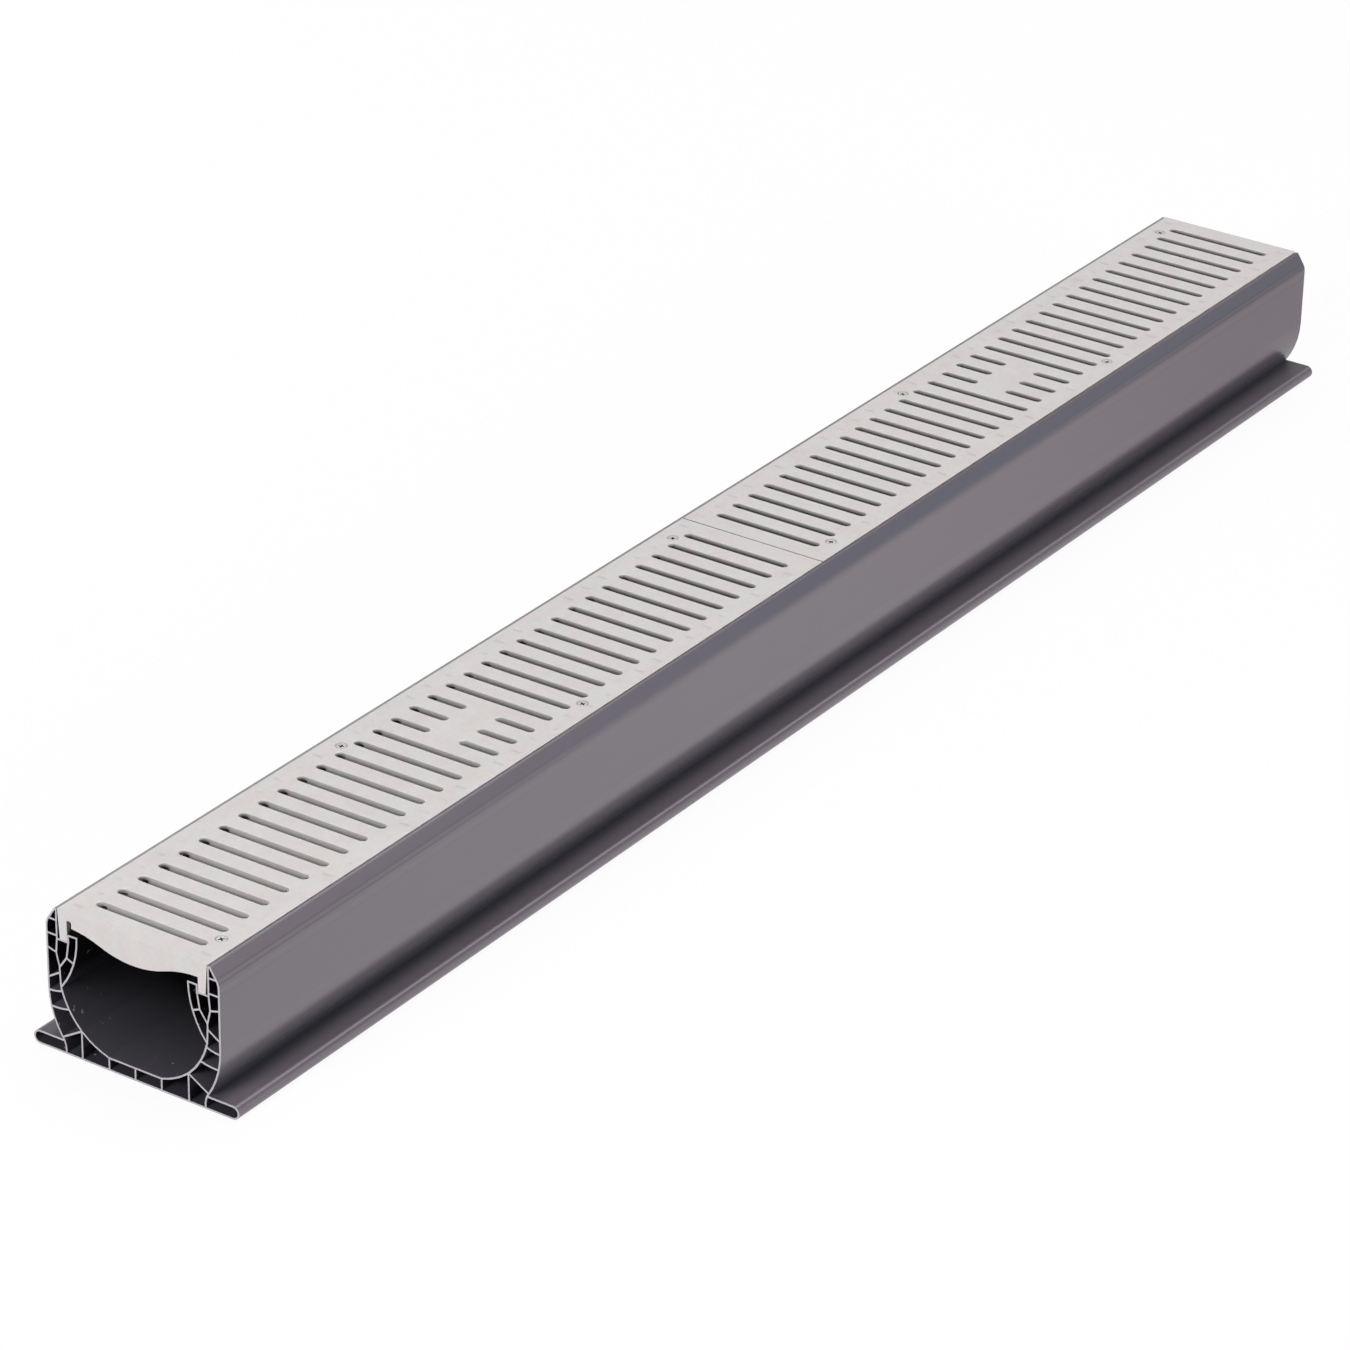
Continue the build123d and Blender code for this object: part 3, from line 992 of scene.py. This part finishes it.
def put_on(node: bpy.types.Object, material: bpy.types.Material) -> None:
    """Put one material on every slot of an object.

    Args:
        node: the object.
        material: the material.
    """
    if not node.material_slots:
        node.data.materials.append(material)
    for place in node.material_slots:
        place.material = material
    log.info("%s is dressed in %s", node.name, material.name)


@dataclass(frozen=True)
class Softbox:
    """A rectangular lamp: its power in watts, its width and height, where it stands and what it faces."""

    name: str
    power: float
    size: tuple[float, float]
    spot: Point
    target: Point


@dataclass
class Studio:
    """Pale floor, soft light and the camera."""

    camera_place: Point = (-2.6144, -1.6931, 1.6085)
    camera_azimuth: float = -0.98122
    camera_elevation: float = 0.47780
    camera_roll: float = 0.01928
    lens: float = 147.98
    sensor: float = 36.0
    floor_reach: float = 30.0
    floor_height: float = -0.1 * MM
    floor_colour: Colour = (0.32, 0.32, 0.32)
    seen_floor_colour: Colour = (0.94, 0.94, 0.94)
    floor_roughness: float = 0.9
    white_share: float = 0.93
    world_strength: float = 0.22

    # What reflections see: the floor, dimmer along X, and the glow, by the Z and the X of their direction.
    mirrored_along: Band = Band(0.15, 0.8)
    mirrored_loss: float = 0.45
    horizon_glow: float = 0.9
    zenith_glow: float = 0.12
    glow_height: Band = Band(0.55, 0.15)
    glow_ahead: Band = Band(0.64, 0.82)
    ahead_loss: float = 0.4

    softboxes: tuple[Softbox, ...] = (
        Softbox("overhead", 36.0, (2.5, 2.5), (1.2, 0.15, 2.2), (0.6, 0.0, 0.0)),
        Softbox("front", 49.0, (1.0, 1.0), (-2.6, 0.1, 1.25), (-0.6, 0.0, 0.05)),
        Softbox("side", 26.0, (0.9, 0.8), (-0.15, -2.2, 0.62), (-0.15, 0.0, 0.05)),
        Softbox("back", 12.0, (0.9, 0.8), (0.15, 2.2, 0.62), (0.15, 0.0, 0.05)),
    )

    def build(self) -> None:
        """Build the floor, the lights and the camera."""
        self.floor()
        self.world()
        self.lamps()
        self.camera()

    def floor(self) -> None:
        """Plain floor, white to the camera, less so in reflections of its far part, and grey to the other light."""
        reach = self.floor_reach
        outline = ((-reach, -reach), (reach, -reach), (reach, reach), (-reach, reach))
        corners = np.array([(x, y, self.floor_height) for x, y in outline])
        tree = ShaderTree.named("studio_floor")
        seen = tree.node("ShaderNodeLightPath", out="Is Camera Ray")
        mirrored = tree.node("ShaderNodeLightPath", out="Is Glossy Ray")
        shown = (seen + mirrored * (1.0 - tree.x.ramp(self.mirrored_along) * self.mirrored_loss)).at_most(1.0)
        colour = tree.mix(shown, self.floor_colour, self.seen_floor_colour)
        lit = tree.shader(Base_Color=colour, Roughness=self.floor_roughness)
        white = tree.node("ShaderNodeEmission", None, {"Color": WHITE, "Strength": 1.0})
        tree.finish(tree.node("ShaderNodeMixShader", None, {0: shown * self.white_share, 1: lit, 2: white}))
        floor = make_piece("studio_floor", corners, np.array([[0, 1, 2, 3]]), tree.owner)

    def world(self) -> None:
        """Even light from all round, a glow at the horizon in reflections, and white behind the floor."""
        world = bpy.data.worlds.new("studio")
        tree = ShaderTree(world)
        seen = tree.node("ShaderNodeLightPath", out="Is Camera Ray")
        mirrored = tree.node("ShaderNodeLightPath", out="Is Glossy Ray")
        facing = tree.node("ShaderNodeTexCoord", out="Generated")
        ahead, height = (tree.node("ShaderNodeSeparateXYZ", None, {0: facing}, axis) for axis in "XZ")
        glow = self.zenith_glow + height.ramp(self.glow_height) * (self.horizon_glow - self.zenith_glow)
        glow = glow * (1.0 - ahead.ramp(self.glow_ahead) * self.ahead_loss)
        strength = self.world_strength + mirrored * (glow - self.world_strength) + seen * (1.0 - self.world_strength)
        tree.finish(tree.node("ShaderNodeBackground", None, {"Color": WHITE, "Strength": strength}))
        bpy.context.scene.world = world

    def lamps(self) -> None:
        """Softboxes, each facing the drain."""
        for box in self.softboxes:
            lamp = bpy.data.lights.new(box.name, "AREA")
            lamp.energy = box.power
            lamp.shape = "RECTANGLE"
            lamp.size, lamp.size_y = box.size
            self.place(lamp, np.array(box.spot) - np.array(box.target), 0.0, box.spot)

    def camera(self) -> None:
        """Camera at the photograph's viewing angle."""
        azimuth, elevation = self.camera_azimuth, self.camera_elevation
        flat = math.cos(elevation)
        back = np.array([math.sin(azimuth) * flat, -math.cos(azimuth) * flat, math.sin(elevation)])
        camera = bpy.data.cameras.new("camera")
        camera.lens = self.lens
        camera.sensor_width = self.sensor
        camera.sensor_fit = "HORIZONTAL"
        bpy.context.scene.camera = self.place(camera, back, self.camera_roll, self.camera_place)

    @staticmethod
    def place(thing: bpy.types.ID, back: np.ndarray, roll: float, spot: Point) -> bpy.types.Object:
        """Put a lamp or camera in the scene, looking against a direction.

        Args:
            thing: the lamp's or camera's data.
            back: direction from what is looked at to the viewer.
            roll: turn about that direction, in radians.
            spot: where it stands.

        Returns:
            The new object.
        """
        back = back / np.linalg.norm(back)
        right = np.cross([0.0, 0.0, 1.0], back)
        right = right / np.linalg.norm(right)
        up = np.cross(back, right)
        cosine, sine = math.cos(roll), math.sin(roll)
        columns = np.eye(4)
        columns[:3, 0] = cosine * right + sine * up
        columns[:3, 1] = cosine * up - sine * right
        columns[:3, 2] = back
        columns[:3, 3] = spot
        holder = bpy.data.objects.new(thing.name, thing)
        holder.matrix_world = Matrix(columns.tolist())
        bpy.context.scene.collection.objects.link(holder)
        return holder


def main() -> None:
    """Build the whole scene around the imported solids."""
    logging.basicConfig(level=logging.INFO, format="%(name)s: %(message)s")
    for start in list(bpy.data.objects):
        bpy.data.objects.remove(start)
    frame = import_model()
    nodes = frame["nodes"]
    Channel(ExtrudedPlastic()).dress(nodes["channel"])
    screws = GrateScrews()
    moulding = MouldedGrey(screws.spots()).material()
    for name, direction in (("near_grate", -1), ("far_grate", 1)):
        RoundedGrate(name, direction).build(nodes[name], moulding)
    screws.build(PaintedSteel().material())
    Studio().build()
    bpy.context.scene.view_settings.view_transform = "Standard"


if __name__ == "__main__":
    main()
